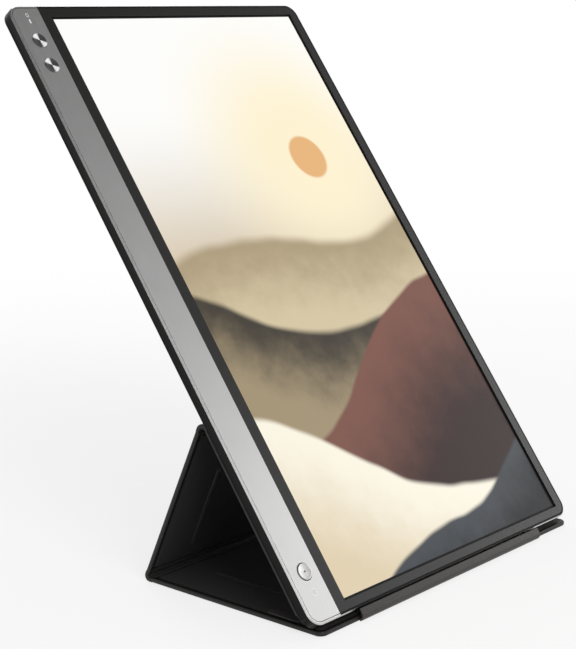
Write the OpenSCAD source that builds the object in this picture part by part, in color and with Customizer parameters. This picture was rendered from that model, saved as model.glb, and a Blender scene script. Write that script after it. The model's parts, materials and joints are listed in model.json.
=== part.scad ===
// Portable monitor with a folding cover, stood upright on its own cover.
// The cover folds into a three-sided stand: a base, a back and a rest that carries the monitor.
// X runs across, Y to the back and Z up. The origin is under the middle of the base.

/* [Monitor] */
// Width of the monitor across
monitor_w = 208; // [190:1:230]
// Length of the monitor up its slope
monitor_h = 323.5; // [300:0.5:350]
// Thickness of the monitor over its flat back
monitor_t = 9; // [8:0.5:12]
// Depth of the straight side wall, before the back tapers
wall_d = 5.5; // [5:0.1:7]
// Depth of the rear cover's share of that wall
rear_rim_d = 0.3; // [0.2:0.1:0.6]
// Outer corner radius
corner_r = 7; // [5:0.5:12]
// Width of the taper round the back
back_taper = 7; // [5:0.5:12]
// Wall of the side frame
frame_wall = 1.2; // [0.8:0.1:1.6]
// Polished chamfer on the frame's front edge
rim_chamfer = 0.5; // [0.3:0.1:0.7]
// Width of the ledge that carries the bezel and the strip
ledge_w = 1.5; // [1:0.1:2]
// Thickness of that ledge
ledge_t = 1; // [0.8:0.1:1.4]
// Wall of the rear cover
shell_t = 1; // [0.8:0.1:1.4]

/* [Front] */
// Thickness of the bezel and the strip
front_t = 0.9; // [0.8:0.1:1.2]
// Width of the metal strip from the monitor's left side
strip_w = 18.8; // [16:0.2:24]
// Width of the lit picture
picture_w = 174; // [160:1:180]
// Length of the lit picture
picture_h = 309.4; // [290:0.2:312]
// Black edge of the panel that shows inside the bezel
black_edge = 1.1; // [0.5:0.1:2]
// Panel hidden under the bezel on each side
panel_lap = 1.4; // [1:0.1:2]
// Bezel below the picture
bezel_bottom = 6.7; // [6:0.1:8]
// Bezel between the strip and the picture
bezel_left = 7.5; // [6:0.1:8.5]
// Seam between front pieces
seam = 0.15; // [0.1:0.05:0.3]

/* [Panel stack] */
// Thickness of the display glass
glass_t = 1; // [0.8:0.1:1.4]
// Thickness of the light guide
guide_t = 1.5; // [1:0.1:2]
// Thickness of the reflector plate
reflector_t = 0.3; // [0.2:0.1:0.5]
// Width of the light bar beside the guide
light_bar_w = 1.2; // [1:0.1:1.5]
// Thickness of the ribs that carry the panel stack
rib_t = 1.5; // [1:0.1:2.5]

/* [Controls] */
// Distance of the buttons from the monitor's left side
button_inset = 10.4; // [9.8:0.1:12]
// Place of the upper menu button, from the top edge
upper_button_down = 19.9; // [18:0.1:30]
// Spacing of the two menu buttons
button_pitch = 14.1; // [12:0.1:20]
// Place of the power button, from the bottom edge
power_button_up = 24; // [20:0.5:40]
// Place of the indicator, from the bottom edge
indicator_up = 14.1; // [8:0.1:17]
// Radius of a button
button_r = 3.9; // [3:0.1:4.5]
// Height of a button over the strip
button_proud = 0.4; // [0.2:0.1:0.8]
// Travel of a button
button_travel = 0.35; // [0.2:0.05:0.4]
// Gap round a menu button
button_gap = 0.2; // [0.15:0.05:0.4]
// Dark gap round the power button
power_gap = 0.6; // [0.3:0.1:0.8]
// Radius of the indicator lens
lens_r = 0.9; // [0.6:0.1:1.5]
// Width of the flange that keeps a button in
flange_w = 1; // [0.9:0.1:1.2]
// Thickness of that flange
flange_t = 0.6; // [0.4:0.1:0.8]
// Gap between the flange and the strip
flange_gap = 0.25; // [0.1:0.05:0.4]
// Radius of a button's stem
stem_r = 1.5; // [1:0.1:2]
// Gap left between a pressed stem and its plunger
stem_gap = 0.05; // [0.05:0.05:0.2]
// Gap round the indicator lens
lens_gap = 0.05; // [0.05:0.05:0.2]

/* [Boards] */
// Thickness of a circuit board
board_t = 1; // [0.8:0.1:1.2]
// Width of the boards in the strip
board_w = 12; // [11:0.5:12.5]
// Depth of the boards' upper face below the front
board_depth = 5.2; // [5:0.1:5.5]
// Length of the upper board
upper_board_l = 52; // [50:1:60]
// Length of the main board
main_board_l = 150; // [120:1:170]
// Length of the power button's board
power_board_l = 24; // [20:1:30]
// Gap between boards and the tapered wall
board_gap = 0.5; // [0.3:0.1:1]
// Side of a key switch
switch_w = 4.5; // [4:0.1:5.5]
// Height of a key switch's body
switch_h = 1.2; // [1:0.1:1.6]
// Length of a key switch's plunger
plunger_t = 0.3; // [0.2:0.1:0.5]
// Radius of that plunger
plunger_r = 1; // [0.6:0.1:1.5]
// Radius of the bore in a screw post
screw_r = 0.8; // [0.6:0.1:1]
// Gap round a screw's shaft
screw_gap = 0.05; // [0.02:0.01:0.1]
// Height of a screw's head
screw_head_h = 0.7; // [0.4:0.1:1]
// Rim of a screw's head outside its bore
screw_head_rim = 0.6; // [0.4:0.1:0.8]
// Outer radius of a screw post
post_r = 1.8; // [1.6:0.1:2.2]
// Screw post in from the board's edge
post_margin = 0.4; // [0.2:0.1:1]
// Width of the shield can
can_w = 5.6; // [4:0.1:6]
// Length of the shield can
can_l = 75; // [40:1:100]
// Height of the shield can
can_h = 2.8; // [1.5:0.1:3]
// Sheet thickness of the shield can
can_t = 0.2; // [0.1:0.05:0.3]
// Shield can in from the board's edge
can_in = 0.5; // [0.3:0.1:1]
// Width of the ribbon to the panel
ribbon_w = 30; // [20:1:50]
// Thickness of the ribbon
ribbon_t = 0.2; // [0.1:0.05:0.3]
// Ribbon's lap on the main board
ribbon_lap = 2; // [1:0.5:3]
// Gap between the ribbon and the panel's edge
ribbon_gap = 0.4; // [0.2:0.1:0.6]
// Width of the socket's mouth
socket_w = 8.4; // [8.3:0.1:8.6]
// Height of the socket's mouth
socket_h = 2.5; // [2.4:0.1:2.7]
// Length of the socket
socket_l = 7.4; // [7:0.1:8]
// Sheet thickness of the socket's shell
socket_wall = 0.3; // [0.2:0.05:0.3]
// Thickness of the socket's back
socket_back = 1; // [0.5:0.1:1.5]
// Thickness of the socket's tongue
tongue_t = 0.7; // [0.6:0.1:0.8]
// Gap beside the tongue
tongue_side = 0.9; // [0.6:0.1:1.2]
// Tongue's end below the socket's mouth
tongue_down = 1; // [0.5:0.1:1.5]
// Clearance between fitted pieces inside
fit_gap = 0.2; // [0.1:0.05:0.3]

/* [Cover] */
// Width of the cover
cover_w = 202; // [180:1:206]
// Shift of the cover to the right of the monitor's middle
cover_shift = 1.6; // [0:0.1:3]
// Depth of the folded base, front edge to back fold
base_depth = 109; // [100:1:125]
// Slope of the monitor from level
slope = 54; // [50:1:60]
// Distance from the monitor's foot up to the top fold
rest_reach = 100.4; // [90:0.2:110]
// Distance from the monitor's foot up to the rest's free end
rest_foot = 6.2; // [6:0.1:10]
// Monitor's front edge behind the cover's front edge
monitor_setback = 0.5; // [0:0.1:1]
// Thickness of the outer skin
skin_t = 0.7; // [0.5:0.1:0.9]
// Thickness of the stiffening board
stiff_t = 1.1; // [0.8:0.1:1.4]
// Thickness of the lining
lining_t = 0.6; // [0.4:0.1:0.8]
// Corner radius of the cover
cover_corner_r = 4; // [2:0.5:8]
// Outer radius of the back fold
back_fold_r = 2.8; // [2.6:0.1:5]
// Outer radius of the top fold
top_fold_r = 3.8; // [2.6:0.1:6]
// Outer radius of the lip's fold
lip_fold_r = 2; // [1.6:0.1:2.4]
// Thickness of the skin in a fold
fold_t = 1.2; // [0.8:0.1:1.4]
// Straight part of a fold before each stiff panel
fold_lap = 1.5; // [1:0.1:3]
// Turned edge of skin round a panel
edge_w = 2.2; // [1.5:0.1:4]
// Gap between pieces that move apart
rest_gap = 0.3; // [0.2:0.05:0.5]

/* [Lip] */
// Length of the lip
lip_l = 146; // [120:1:160]
// Height of the lip's front face
lip_front_h = 3.2; // [3:0.1:4]
// Width of the lip's narrow top
lip_top_w = 0.6; // [0.4:0.1:1.2]
// Thickness of the skin round the lip's core
lip_skin_t = 0.4; // [0.3:0.05:0.5]
// Gap between the lip and the foot of the swinging monitor
swing_gap = 0.35; // [0.3:0.05:0.6]
// Rise of the lip's narrow top to its front
lip_top_rise = 0.1; // [0:0.05:0.3]

/* [Details] */
// Width of the pressed lines in the lining
press_w = 1.4; // [1:0.1:3]
// Depth of the pressed lines
press_d = 0.25; // [0.1:0.05:0.3]
// Pressed lines in from the cover's side
press_inset = 25; // [20:0.5:40]
// Length of the pressed lines
press_l = 43; // [30:1:60]
// Pressed line on the base, from the back fold
base_press_end = 20; // [10:1:40]
// Pressed line on the back, from the back fold
back_press_end = 11; // [8:1:30]
// Length of a pill-shaped magnet
magnet_l = 18; // [10:1:24]
// Width of a magnet
magnet_w = 5; // [3:0.5:8]
// Magnets of the base in from the cover's side
base_magnet_side = 6; // [5:0.5:12]
// Magnets of the base, from its front edge
base_magnet_in = 25; // [20:1:40]
// Magnets of the rest in from the cover's side
rest_magnet_side = 45; // [30:1:60]
// Magnets of the rest, from its free end
rest_magnet_in = 22; // [15:1:40]
// Thickness of the holding plates in the rear cover
plate_t = 0.5; // [0.3:0.1:0.8]
// Holding plate's rim round the magnet behind it
plate_rim = 1; // [0.5:0.1:2]

/* [Hidden] */
$fn = 64;
eps = 0.01;
past = 1; // how far a cutter reaches past a face
fold_steps = 20;
cover_t = skin_t + stiff_t + lining_t;

// Places of the monitor: its foot is the back edge of its side wall
base_front = -base_depth / 2;
foot_z = cover_t + rest_gap;
front_y = base_front + monitor_setback;
front_z = foot_z + wall_d * cos(slope);
left = -monitor_w / 2;
strip_right = left + strip_w;
picture_x = strip_right + bezel_left;

// Places of the folds, as points in Y and Z
top_local = [rest_reach, -(monitor_t + rest_gap + top_fold_r)];
top_y = front_y + top_local[0] * cos(slope) - top_local[1] * sin(slope);
top_z = front_z + top_local[0] * sin(slope) + top_local[1] * cos(slope);
back_y = base_depth / 2 - back_fold_r;
back_z = back_fold_r;
fold_span = norm([top_y - back_y, top_z - back_z]);
fold_line = atan2(top_z - back_z, top_y - back_y);
back_turn = fold_line - asin((top_fold_r - back_fold_r) / fold_span);
back_l = sqrt(pow(fold_span, 2) - pow(top_fold_r - back_fold_r, 2)) - 2 * fold_lap;
rest_turn = 180 + slope;
rest_l = rest_reach - rest_foot - fold_lap;
base_l = back_y - fold_lap - base_front;
lip_y = base_front;
lip_z = lip_fold_r;

// Depths in the monitor, below its front
frame_d = wall_d - rear_rim_d;
inner_back = monitor_t - shell_t;
guide_top = front_t + glass_t;
reflector_top = guide_top + guide_t;
stack_d = reflector_top + reflector_t;
panel_w = picture_w + 2 * (black_edge + panel_lap);
panel_h = picture_h + 2 * (black_edge + panel_lap);
panel_x = picture_x - black_edge - panel_lap;
panel_y = bezel_bottom - black_edge - panel_lap;

// Places of the controls, across and up the monitor
button_x = left + button_inset;
upper_at = [button_x, monitor_h - upper_button_down];
lower_at = [button_x, monitor_h - upper_button_down - button_pitch];
power_at = [button_x, power_button_up];
board_under = board_depth + board_t;
taper_top = wall_d - shell_t / 2;
taper_in = back_taper * (board_under - taper_top) / (inner_back - taper_top);
board_inset = shell_t + taper_in + board_gap;
board_x = left + board_inset;
upper_board_y = monitor_h - board_inset - upper_board_l;
power_board_y = power_button_up - power_board_l / 2;
main_board_y = (monitor_h - main_board_l) / 2;
screw_inset = post_r + post_margin;
switch_d = board_depth - switch_h;
stem_end = switch_d - plunger_t - button_travel - stem_gap;
flange_top = front_t + flange_gap;
socket_z = -(board_depth - socket_h / 2 - socket_wall);

socket_end = monitor_h - fit_gap - socket_l;

// Two screws for each board, the upper board's upper one just below the socket
screws_at = [
    for (y = [upper_board_y + screw_inset, socket_end - board_gap - screw_r - screw_head_rim,
              main_board_y + screw_inset, main_board_y + main_board_l - screw_inset,
              power_board_y + screw_inset, power_board_y + power_board_l - screw_inset])
        [board_x + board_w - screw_inset, y]
];

// A stadium, long in X, about the origin
module stadium(w, h) {
    square([w - h, h], center = true);
    for (x = [-1, 1]) translate([x * (w - h) / 2, 0]) circle(h / 2);
}

// A rounded rectangle with true corner arcs
module plate_outline(w, h, r) {
    translate([r, 0]) square([w - 2 * r, h]);
    translate([0, r]) square([w, h - 2 * r]);
    if (r > 0) for (x = [r, w - r], y = [r, h - r]) translate([x, y]) circle(r);
}

// The monitor's outline, drawn in by a distance; past the corner's radius it has square corners
module monitor_outline(inset) {
    translate([left + inset, inset])
        plate_outline(monitor_w - 2 * inset, monitor_h - 2 * inset, max(corner_r - inset, 0));
}

// A slab of the monitor between two depths below its front
module between(top, bottom) {
    translate([0, 0, -bottom]) linear_extrude(bottom - top) children();
}

// Puts children in the monitor's place: X across, Y up the slope, Z out of the front
module in_monitor() {
    translate([0, front_y, front_z]) rotate([slope, 0, 0]) children();
}

// Puts children on the back: Y up from the back fold, Z inwards from the outer face
module in_back() {
    translate([0, back_y, back_z]) rotate([back_turn, 0, 0])
        translate([0, fold_lap, -back_fold_r]) children();
}

// Puts children on the rest: Y down from the top fold, Z inwards from the outer face
module in_rest() {
    translate([0, top_y, top_z]) rotate([rest_turn, 0, 0])
        translate([0, fold_lap, -top_fold_r]) children();
}

// Puts children on the base: Y from the front edge to the back, Z inwards from the table
module in_base() {
    translate([0, base_front, 0]) children();
}

// Outline of a cover panel, round at its low end, its high end or neither
module panel_outline(l, inset, round_low, round_high) {
    w = cover_w - 2 * inset;
    r = cover_corner_r - inset;
    low = round_low ? r : 0;
    high = round_high ? r : 0;
    translate([cover_shift - w / 2, inset]) {
        translate([0, low]) square([w, l - 2 * inset - low - high]);
        if (round_low) {
            translate([r, 0]) square([w - 2 * r, r]);
            for (x = [r, w - r]) translate([x, r]) circle(r);
        }
        if (round_high) {
            translate([r, l - 2 * inset - r]) square([w - 2 * r, r]);
            for (x = [r, w - r]) translate([x, l - 2 * inset - r]) circle(r);
        }
    }
}

// Outer skin of a panel: a shallow tray whose edges are turned up round the board and lining
module panel_skin(l, round_low, round_high) {
    color("#26221f") difference() {
        linear_extrude(cover_t) panel_outline(l, 0, round_low, round_high);
        translate([0, 0, skin_t])
            linear_extrude(cover_t) panel_outline(l, edge_w, round_low, round_high);
    }
}

// Outlines of the magnets in a panel, in from both sides at one height
module magnet_outlines(in, y) {
    for (side = [-1, 1])
        translate([cover_shift + side * (cover_w / 2 - in), y])
            rotate(90) stadium(magnet_l, magnet_w);
}

// Stiff board of a panel, with pockets for its magnets where it has some
module panel_board(l, round_low, round_high, magnet_in, magnet_y) {
    color("#8a7a60") translate([0, 0, skin_t]) difference() {
        linear_extrude(stiff_t) panel_outline(l, edge_w, round_low, round_high);
        if (magnet_y > 0)
            translate([0, 0, -eps]) linear_extrude(stiff_t + 2 * eps)
                magnet_outlines(magnet_in, magnet_y);
    }
}

// Lining of a panel, with a pressed line near each side where it has one
module panel_lining(l, round_low, round_high, press_y) {
    color("#3a3431") translate([0, 0, skin_t + stiff_t]) difference() {
        linear_extrude(lining_t) panel_outline(l, edge_w, round_low, round_high);
        if (press_y > 0)
            for (side = [-1, 1])
                translate([cover_shift + side * (cover_w / 2 - press_inset) - press_w / 2,
                           press_y, lining_t - press_d])
                    cube([press_w, press_l, press_d + eps]);
    }
}

module panel_magnets(magnet_in, magnet_y) {
    color("silver") translate([0, 0, skin_t]) linear_extrude(stiff_t)
        magnet_outlines(magnet_in, magnet_y);
}

// A point of a fold in Y and Z: straight down at turn 0 and to the back at turn 90
function fold_point(r, turn) = [r * sin(turn), -r * cos(turn)];

// One face of a fold: its arc between two turns, with a straight lap at each end
function fold_face(r, from_turn, to_turn, lap) = [
    if (lap > 0) fold_point(r, from_turn) - lap * [cos(from_turn), sin(from_turn)],
    for (i = [0:fold_steps])
        fold_point(r, from_turn + (to_turn - from_turn) * i / fold_steps),
    if (lap > 0) fold_point(r, to_turn) + lap * [cos(to_turn), sin(to_turn)]
];

// The points of a list in the opposite order
function backwards(list) = [for (i = [len(list) - 1:-1:0]) list[i]];

// A fold of skin across the cover
module fold_strip(w, r, from_turn, to_turn, lap) {
    outer = fold_face(r, from_turn, to_turn, lap);
    inner = fold_face(r - fold_t, from_turn, to_turn, lap);
    color("#26221f") rotate([90, 0, 90]) linear_extrude(w, center = true)
        polygon(concat(outer, backwards(inner)));
}

// Metal frame round the monitor's side, with its polished front chamfer
module side_frame() {
    color("#2c2a29") in_monitor() difference() {
        union() {
            between(rim_chamfer, frame_d) monitor_outline(0);
            hull() {
                between(rim_chamfer, rim_chamfer + eps) monitor_outline(0);
                between(0, eps) monitor_outline(rim_chamfer);
            }
        }
        between(-past, front_t) monitor_outline(frame_wall);
        between(front_t - eps, front_t + ledge_t) monitor_outline(frame_wall + ledge_w);
        between(front_t + ledge_t - eps, frame_d + past) monitor_outline(frame_wall);
        translate([button_x, monitor_h - frame_wall - past, socket_z]) rotate([-90, 0, 0])
            linear_extrude(frame_wall + 2 * past)
                stadium(socket_w + 2 * socket_wall + 2 * seam, socket_h + 2 * socket_wall + 2 * seam);
    }
}

// Tapered shell between two outlines, at two depths
module back_form(inset, top, bottom) {
    hull() {
        between(top, wall_d) monitor_outline(inset);
        between(bottom - eps, bottom) monitor_outline(inset + back_taper);
    }
}

// Ring of ribs under the panel stack's edge
module panel_ribs() {
    between(stack_d, inner_back) difference() {
        translate([panel_x, panel_y]) square([panel_w, panel_h]);
        translate([panel_x + rib_t, panel_y + rib_t])
            square([panel_w - 2 * rib_t, panel_h - 2 * rib_t]);
    }
}

// Round shapes at the board screws, from the boards down to the shell's floor
module at_screws(r) {
    for (at = screws_at) between(board_under, inner_back) translate(at) circle(r);
}

// Tapered rear shell, with its ribs and posts kept inside the taper
module rear_cover() {
    color("#242221") in_monitor() difference() {
        union() {
            difference() {
                back_form(0, frame_d, monitor_t);
                translate([0, 0, shell_t / 2]) back_form(shell_t, 0, inner_back + shell_t / 2);
            }
            intersection() {
                back_form(shell_t / 2, 0, inner_back + shell_t / 2);
                union() {
                    panel_ribs();
                    at_screws(post_r);
                }
            }
        }
        at_screws(screw_r);
    }
}

module front_bezel() {
    x = strip_right + seam;
    color("#2a2725") in_monitor() between(0, front_t) difference() {
        intersection() {
            monitor_outline(frame_wall + seam);
            translate([x, 0]) square([monitor_w, monitor_h]);
        }
        translate([picture_x - black_edge, bezel_bottom - black_edge])
            square([picture_w + 2 * black_edge, picture_h + 2 * black_edge]);
    }
}

module front_strip() {
    color("#a9a7a5") in_monitor() between(0, front_t) difference() {
        intersection() {
            monitor_outline(frame_wall + seam);
            translate([left, 0]) square([strip_w, monitor_h]);
        }
        for (at = [upper_at, lower_at]) translate(at) circle(button_r + button_gap);
        translate(power_at) circle(button_r + power_gap);
        translate([button_x, indicator_up]) circle(lens_r);
    }
}

module display_panel() {
    color("#c8b89a") in_monitor() between(front_t, guide_top)
        translate([panel_x, panel_y]) square([panel_w, panel_h]);
}

module light_guide() {
    color("white") in_monitor() between(guide_top, reflector_top)
        translate([panel_x + light_bar_w, panel_y]) square([panel_w - light_bar_w, panel_h]);
}

module light_bar() {
    color("gold") in_monitor() between(guide_top, reflector_top)
        translate([panel_x, panel_y]) square([light_bar_w, panel_h]);
}

module reflector_plate() {
    color("silver") in_monitor() between(reflector_top, stack_d)
        translate([panel_x, panel_y]) square([panel_w, panel_h]);
}

// A circuit board in the strip, rounded to the case's corner and drilled for its screws
module strip_board(y, l) {
    color("darkgreen") between(board_depth, board_under) difference() {
        intersection() {
            translate([board_x, y]) square([board_w, l]);
            monitor_outline(board_inset);
        }
        for (at = screws_at) translate(at) circle(screw_r);
    }
}

module upper_board() {
    in_monitor() strip_board(upper_board_y, upper_board_l);
}

module main_board() {
    in_monitor() strip_board(main_board_y, main_board_l);
}

module power_board() {
    in_monitor() strip_board(power_board_y, power_board_l);
}

// Tin can over the main chips
module shield_can() {
    color("lightgrey") in_monitor()
        translate([board_x + can_in, (monitor_h - can_l) / 2, -board_depth]) difference() {
            cube([can_w, can_l, can_h]);
            translate([can_t, can_t, -eps])
                cube([can_w - 2 * can_t, can_l - 2 * can_t, can_h - can_t + eps]);
        }
}

module key_switches() {
    color("#333333") in_monitor() for (at = [upper_at, lower_at, power_at]) translate(at) {
        between(switch_d, board_depth) square(switch_w, center = true);
        between(switch_d - plunger_t, switch_d) circle(plunger_r);
    }
}

// Flat ribbon from the main board under the panel
module panel_ribbon() {
    low_x = board_x + board_w - ribbon_lap;
    high_x = panel_x - ribbon_gap;
    color("#c08040") in_monitor() translate([0, (monitor_h - ribbon_w) / 2, -board_depth]) {
        translate([low_x, 0, 0]) cube([high_x - low_x, ribbon_w, ribbon_t]);
        translate([high_x - ribbon_t, 0, 0])
            cube([ribbon_t, ribbon_w, board_depth - guide_top - fit_gap]);
    }
}

// Reversible data and power socket in the top wall, with its tongue
module type_c_socket() {
    tongue_w = socket_w - 2 * tongue_side;
    bore_l = socket_l - socket_back;
    color("silver") in_monitor()
        translate([button_x, monitor_h - fit_gap, socket_z]) rotate([90, 0, 0]) {
            difference() {
                linear_extrude(socket_l)
                    stadium(socket_w + 2 * socket_wall, socket_h + 2 * socket_wall);
                translate([0, 0, -eps]) linear_extrude(bore_l + eps) stadium(socket_w, socket_h);
            }
            translate([-tongue_w / 2, -tongue_t / 2, tongue_down])
                cube([tongue_w, tongue_t, bore_l - tongue_down]);
        }
}

module indicator_lens() {
    color("#e8f2ff") in_monitor() between(0, front_t)
        translate([button_x, indicator_up]) circle(lens_r - lens_gap);
}

// Small screws that hold the boards to the posts
module board_screws() {
    color("silver") in_monitor() for (at = screws_at) translate(at) {
        between(board_depth - screw_head_h, board_depth) circle(screw_r + screw_head_rim);
        between(board_depth - eps, inner_back - fit_gap) circle(screw_r - screw_gap);
    }
}

// Thin steel plates inside the rear cover, each in front of one of the rest's magnets
module holding_plates() {
    color("silver") in_monitor() for (side = [-1, 1])
        translate([cover_shift + side * (cover_w / 2 - rest_magnet_side), rest_foot + rest_magnet_in])
            between(inner_back - plate_t, inner_back)
                square([magnet_w + 2 * plate_rim, magnet_l + 2 * plate_rim], center = true);
}

// A button: cap, flange under the strip and stem down to its switch
module button(at) {
    color("#c9c9c9") in_monitor() translate(at) {
        between(-button_proud, front_t + button_travel) circle(button_r);
        between(flange_top, flange_top + flange_t) circle(button_r + flange_w);
        between(flange_top + flange_t - eps, stem_end) circle(stem_r);
    }
}

module menu_button_upper() {
    button(upper_at);
}

module menu_button_lower() {
    button(lower_at);
}

module power_button() {
    button(power_at);
}

module base_skin() {
    in_base() panel_skin(base_l, true, false);
}

module base_board() {
    in_base() panel_board(base_l, true, false, base_magnet_side, base_magnet_in);
}

module base_lining() {
    in_base() panel_lining(base_l, true, false, base_l - base_press_end - press_l);
}

module base_magnets() {
    in_base() panel_magnets(base_magnet_side, base_magnet_in);
}

module back_skin() {
    in_back() panel_skin(back_l, false, false);
}

module back_board() {
    in_back() panel_board(back_l, false, false, 0, 0);
}

module back_lining() {
    in_back() panel_lining(back_l, false, false, back_press_end);
}

module rest_skin() {
    in_rest() panel_skin(rest_l, false, true);
}

module rest_board() {
    in_rest() panel_board(rest_l, false, true, rest_magnet_side, rest_l - rest_magnet_in);
}

module rest_lining() {
    in_rest() panel_lining(rest_l, false, true, 0);
}

module rest_magnets() {
    in_rest() panel_magnets(rest_magnet_side, rest_l - rest_magnet_in);
}

// Section of the lip in Y and Z about its fold, clear of the monitor as that swings away
swing = [front_y - top_y, front_z - top_z] / norm([front_y - top_y, front_z - top_z]);
lip_in = [front_y, front_z] + swing_gap * swing - [lip_y, lip_z];
lip_section = [
    [-lip_fold_r, 0],
    [-lip_fold_r, lip_front_h - lip_z],
    [lip_in[0] - lip_top_w, lip_in[1] + lip_top_rise],
    lip_in,
    [-lip_fold_r + fold_t, rest_gap + cover_t - lip_z],
    [-lip_fold_r + fold_t, 0]
];

module in_lip() {
    translate([0, lip_y, lip_z]) children();
}

module lip_block(l, section) {
    rotate([90, 0, 90]) linear_extrude(l, center = true) polygon(section);
}

// Section of the stiff core inside the lip
core_section = [
    [-lip_fold_r + lip_skin_t, lip_skin_t],
    [-lip_fold_r + lip_skin_t, lip_front_h - lip_z - lip_skin_t / 2],
    [lip_in[0] - lip_top_w, lip_in[1] - 2 * lip_skin_t],
    [-lip_fold_r + fold_t, rest_gap + cover_t - lip_z + lip_skin_t],
    [-lip_fold_r + fold_t - lip_skin_t, lip_skin_t]
];

module lip_skin() {
    color("#332e2b") in_lip() difference() {
        lip_block(lip_l, lip_section);
        lip_block(lip_l - 2 * edge_w, core_section);
    }
}

module lip_core() {
    color("#8a7a60") in_lip() lip_block(lip_l - 2 * edge_w, core_section);
}

module back_fold() {
    translate([cover_shift, back_y, back_z])
        fold_strip(cover_w, back_fold_r, 0, back_turn, fold_lap);
}

module top_fold() {
    translate([cover_shift, top_y, top_z])
        fold_strip(cover_w, top_fold_r, back_turn, rest_turn, fold_lap);
}

module lip_fold() {
    in_lip() fold_strip(lip_l, lip_fold_r, -90, 0, 0);
}

side_frame();
rear_cover();
front_bezel();
front_strip();
display_panel();
light_guide();
reflector_plate();
light_bar();
upper_board();
main_board();
power_board();
shield_can();
key_switches();
panel_ribbon();
type_c_socket();
indicator_lens();
board_screws();
holding_plates();
menu_button_upper();
menu_button_lower();
power_button();
base_skin();
base_board();
base_lining();
base_magnets();
back_skin();
back_board();
back_lining();
rest_skin();
rest_board();
rest_lining();
rest_magnets();
lip_skin();
lip_core();
back_fold();
top_fold();
lip_fold();
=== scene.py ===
"""Looks of the portable monitor on its folding cover.

Lengths are in metres. X runs across, Y to the back and Z up. Pieces of the monitor are shaped
flat, with the foot of the screen along X and the front facing up, then tipped into place."""

import json
import math
import bmesh
import bpy
from mathutils import Matrix, Vector


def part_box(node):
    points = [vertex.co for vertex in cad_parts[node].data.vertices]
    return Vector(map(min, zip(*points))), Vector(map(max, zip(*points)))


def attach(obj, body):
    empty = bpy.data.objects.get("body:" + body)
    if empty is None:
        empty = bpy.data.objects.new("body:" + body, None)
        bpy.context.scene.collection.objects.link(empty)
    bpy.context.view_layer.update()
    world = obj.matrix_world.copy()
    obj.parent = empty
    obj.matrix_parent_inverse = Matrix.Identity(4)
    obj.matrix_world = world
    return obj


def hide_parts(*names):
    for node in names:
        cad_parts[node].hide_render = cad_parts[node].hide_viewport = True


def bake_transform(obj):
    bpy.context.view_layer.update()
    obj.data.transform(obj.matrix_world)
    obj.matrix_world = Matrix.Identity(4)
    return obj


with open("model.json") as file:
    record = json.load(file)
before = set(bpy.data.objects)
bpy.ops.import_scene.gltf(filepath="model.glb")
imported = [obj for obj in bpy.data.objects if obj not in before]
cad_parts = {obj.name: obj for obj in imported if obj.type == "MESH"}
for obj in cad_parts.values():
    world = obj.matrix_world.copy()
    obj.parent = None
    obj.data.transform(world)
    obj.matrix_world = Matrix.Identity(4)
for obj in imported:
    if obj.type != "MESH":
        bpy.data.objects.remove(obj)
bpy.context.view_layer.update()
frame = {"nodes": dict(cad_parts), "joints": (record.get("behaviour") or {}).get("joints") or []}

MM = 0.001
nodes = frame["nodes"]
joints = {j["name"]: j for j in frame["joints"]}

# Sizes that the scene shares with the part's source
COVER_T = 2.4 * MM
SKIN_T = 0.7 * MM
BACK_FOLD_R = 2.8 * MM
TOP_FOLD_R = 3.8 * MM
LIP_FOLD_R = 2.0 * MM
FOLD_T = 1.2 * MM
FOLD_LAP = 1.5 * MM
COVER_CORNER = 4.0 * MM
CORNER = 7.0 * MM
FRAME_WALL = 1.2 * MM
STRIP_W = 18.8 * MM
BACK_TAPER = 7.0 * MM
PICTURE_W = 174.0 * MM
PICTURE_H = 309.4 * MM
BLACK_EDGE = 1.1 * MM
BEZEL_BOTTOM = 6.7 * MM
BEZEL_LEFT = 7.5 * MM
BUTTON_R = 3.9 * MM

# The slope of the screen, from the way that the monitor lifts off
lift = Vector(joints["monitor_lift"]["axis"])
SLOPE = math.atan2(lift.z, lift.y)


def turned_box(node, turn):
    """Lowest and highest corner of a node, in axes turned about X."""
    back = Matrix.Rotation(-turn, 3, "X")
    points = [back @ v.co for v in nodes[node].data.vertices]
    low = Vector([min(p[i] for p in points) for i in range(3)])
    high = Vector([max(p[i] for p in points) for i in range(3)])
    return low, high


frame_low, frame_high = turned_box("side_frame", SLOPE)
rear_low, rear_high = turned_box("rear_cover", SLOPE)
MON_W = frame_high.x - frame_low.x
MON_H = frame_high.y - frame_low.y
MON_T = frame_high.z - rear_low.z
WALL_D = frame_high.z - frame_low.z
LEFT = frame_low.x
PICTURE_X = LEFT + STRIP_W + BEZEL_LEFT
on_screen = Matrix.Rotation(SLOPE, 4, "X") @ Matrix.Translation((0, frame_low.y, frame_high.z))

# The folds' axes, and the turn of each cover panel about X
back_axis = Vector(joints["back_crease"]["pos_m"])
top_axis = Vector(joints["top_crease"]["pos_m"])
lip_axis = Vector(joints["lip_crease"]["pos_m"])
COVER_X = back_axis.x
cover_low, cover_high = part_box("base_skin")
COVER_W = cover_high.x - cover_low.x
span = top_axis - back_axis
BACK_TURN = math.atan2(span.z, span.y) - math.asin((TOP_FOLD_R - BACK_FOLD_R) / span.length)
REST_TURN = math.pi + SLOPE


def panel_place(axis, turn, radius):
    """Matrix of a cover panel: X from the cover's middle, Y along from a fold, Z inwards."""
    return (
        Matrix.Translation((COVER_X, axis.y, axis.z))
        @ Matrix.Rotation(turn, 4, "X")
        @ Matrix.Translation((0, 0, -radius))
    )


on_base = Matrix.Translation((COVER_X, cover_low.y, 0))
on_back = panel_place(back_axis, BACK_TURN, BACK_FOLD_R)
on_rest = panel_place(top_axis, REST_TURN, TOP_FOLD_R)


# Shader helpers


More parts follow.
